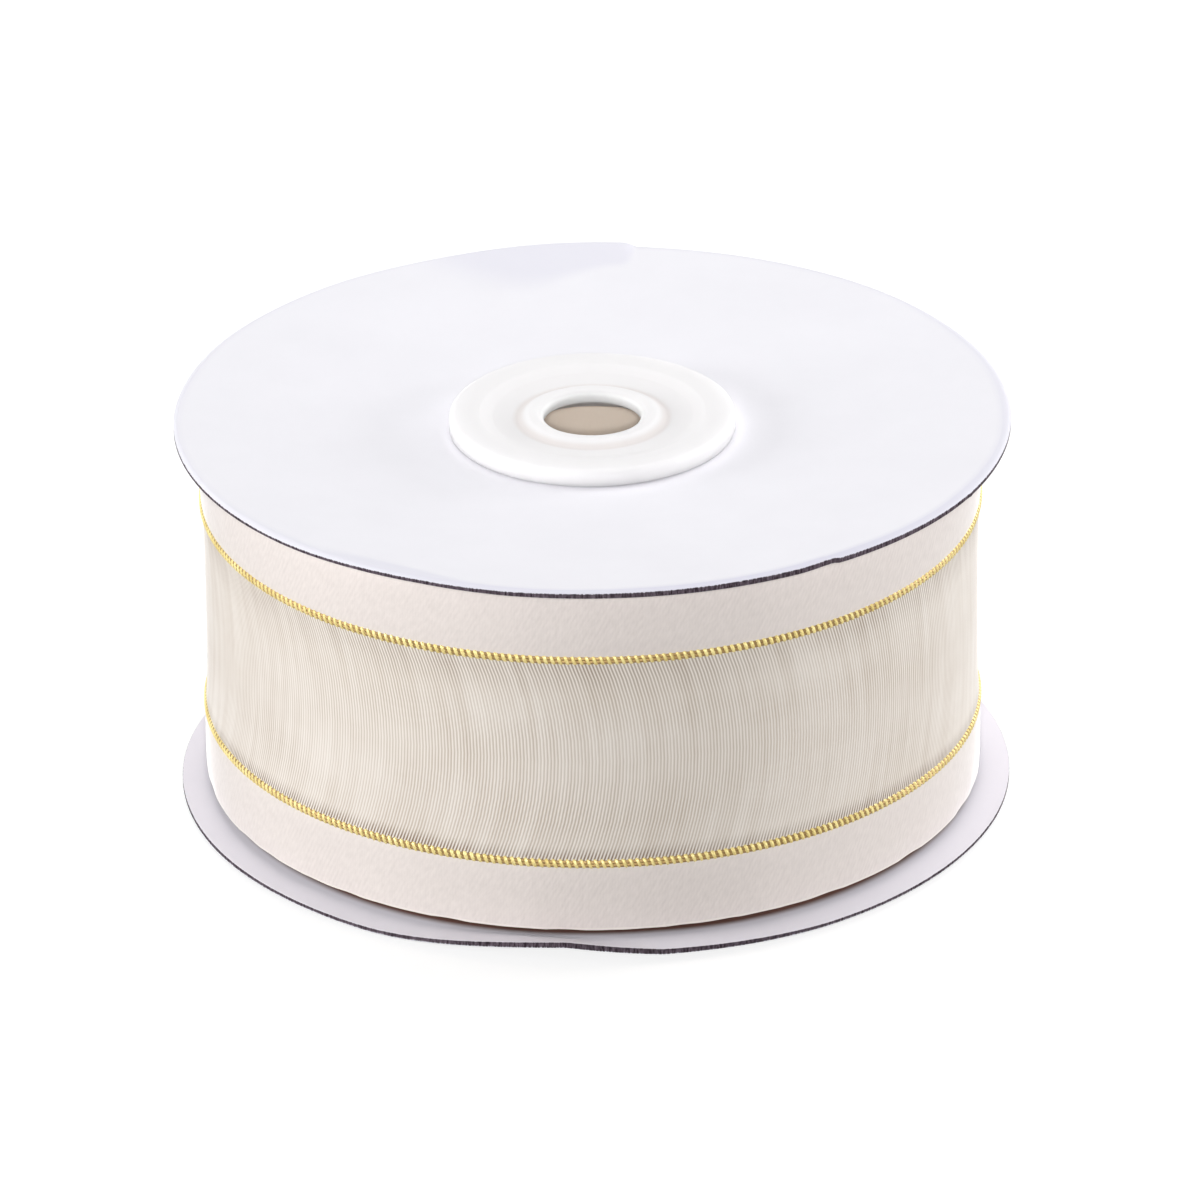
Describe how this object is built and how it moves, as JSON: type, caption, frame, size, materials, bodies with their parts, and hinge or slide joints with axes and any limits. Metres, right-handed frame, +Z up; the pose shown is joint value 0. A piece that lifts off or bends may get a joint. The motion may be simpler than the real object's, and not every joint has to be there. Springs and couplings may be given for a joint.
{
  "type": "ribbon spool",
  "caption": "Round reel of sheer ribbon with satin edges and gold cords, wound on a paper tube between card flanges held by moulded hub plugs.",
  "frame": {"origin": "where the spool's axis meets the surface it stands on, at the lower hub plug's rim", "axes": "+Z up along the spool's axis, -Y towards the picture's camera, +Y towards the cut end of the ribbon"},
  "size_m": [0.0866, 0.0866, 0.042],
  "materials": {
    "white_card": "white paper liner on greyboard, satin",
    "white_plastic": "moulded, slightly translucent, semi-gloss",
    "paper_tube": "bare spiral-wound paper",
    "wound_ribbon": "edges of stacked turns",
    "cream_sheer": "organza, fine weft lines",
    "cream_satin": "satin weave, soft sheen",
    "gold_cord": "twisted metallic yarn",
    "starter_tape": "double-sided tape",
    "clear_tape": "clear film"
  },
  "bodies": {
    "root": {"upper_flange": "white_card", "lower_flange": "white_card", "upper_hub_plug": "white_plastic", "lower_hub_plug": "white_plastic", "core_tube": "paper_tube", "inner_roll": "wound_ribbon", "sheer_band": "cream_sheer", "upper_satin_edge": "cream_satin", "lower_satin_edge": "cream_satin", "upper_gold_cord": "gold_cord", "lower_gold_cord": "gold_cord", "starter_tape": "starter_tape", "tail_tape": "clear_tape"}
  },
  "joints": []
}
